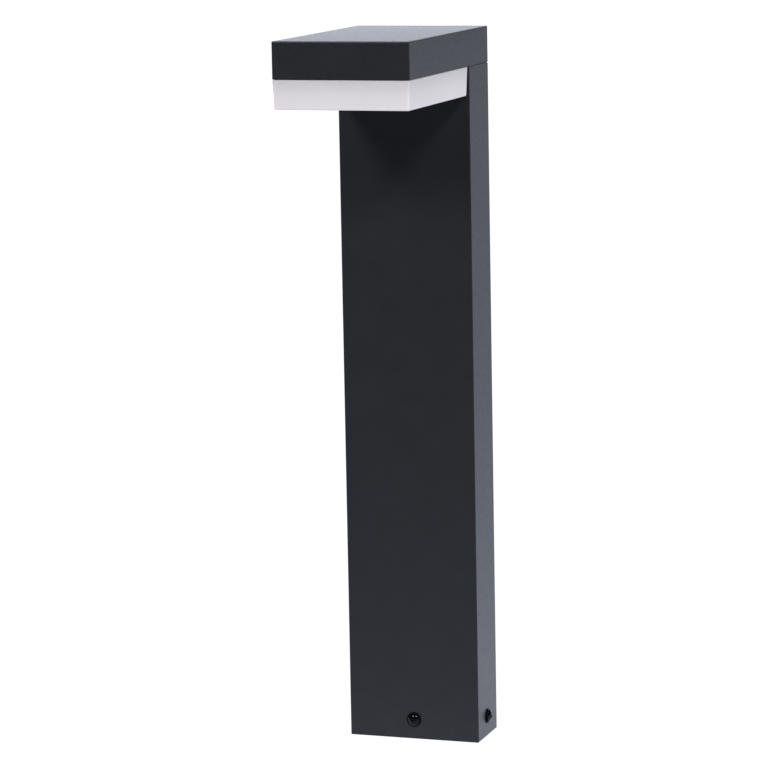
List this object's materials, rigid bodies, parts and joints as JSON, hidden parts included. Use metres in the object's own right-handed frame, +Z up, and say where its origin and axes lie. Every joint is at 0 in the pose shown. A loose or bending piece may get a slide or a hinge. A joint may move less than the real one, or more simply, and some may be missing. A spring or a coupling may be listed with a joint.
{
  "type": "bollard light",
  "caption": "Garden bollard light: flat rectangular post, flush box head that overhangs the front, opal diffuser under it, hidden bolted foot.",
  "frame": {"origin": "centre of the two ground anchor slots, at ground level under the middle of the post", "axes": "+Z up along the post; +X to the right, across the width; the head overhangs towards -Y"},
  "size_m": [0.1008, 0.1779, 0.5],
  "materials": {
    "anthracite_coat": "satin",
    "mill_aluminium": "satin",
    "board_white": "satin",
    "black_screw": "gloss",
    "black_washer": "satin",
    "opal_white": "satin",
    "zinc_steel": "satin",
    "black_rubber": "matte",
    "thermal_grey": "matte",
    "reflector_white": "satin",
    "led_white": "satin",
    "phosphor_yellow": "satin",
    "terminal_white": "satin",
    "clamp_grey": "satin",
    "brass": "satin",
    "driver_white": "satin",
    "board_green": "gloss",
    "component_black": "satin",
    "lead_red": "satin",
    "lead_black": "satin",
    "lead_brown": "satin",
    "lead_blue": "satin",
    "lead_green_yellow": "satin"
  },
  "bodies": {
    "root": {"post": "anthracite_coat", "head_cover": "anthracite_coat", "head_plate": "mill_aluminium", "led_board": "board_white", "foot_screws": "black_screw", "foot_washers": "black_washer", "diffuser": "opal_white", "foot_bracket": "zinc_steel", "foot_weld_nuts": "zinc_steel", "gear_tray": "zinc_steel", "post_port_screws": "zinc_steel", "cover_screws": "zinc_steel", "diffuser_screws": "zinc_steel", "led_board_screws": "zinc_steel", "gear_tray_screws": "zinc_steel", "cord_clamp_screws": "zinc_steel", "terminal_screws": "zinc_steel", "terminal_block_screws": "zinc_steel", "driver_screws": "zinc_steel", "earth_screw": "zinc_steel", "earth_washer": "zinc_steel", "earth_ring_terminal": "zinc_steel", "post_top_seal": "black_rubber", "post_grommet": "black_rubber", "lamp_grommet": "black_rubber", "diffuser_gasket": "black_rubber", "cable_entry_grommet": "black_rubber", "thermal_pad": "thermal_grey", "reflector_sheet": "reflector_white", "led_packages": "led_white", "led_connector": "led_white", "led_phosphor": "phosphor_yellow", "terminal_block": "terminal_white", "lead_clips": "terminal_white", "cord_clamp": "clamp_grey", "terminal_barrels": "brass", "driver_case": "driver_white", "driver_lid": "driver_white", "driver_board": "board_green", "driver_components": "component_black", "led_lead_positive": "lead_red", "led_lead_negative": "lead_black", "driver_live_lead": "lead_brown", "driver_neutral_lead": "lead_blue", "earth_lead": "lead_green_yellow"}
  },
  "joints": []
}
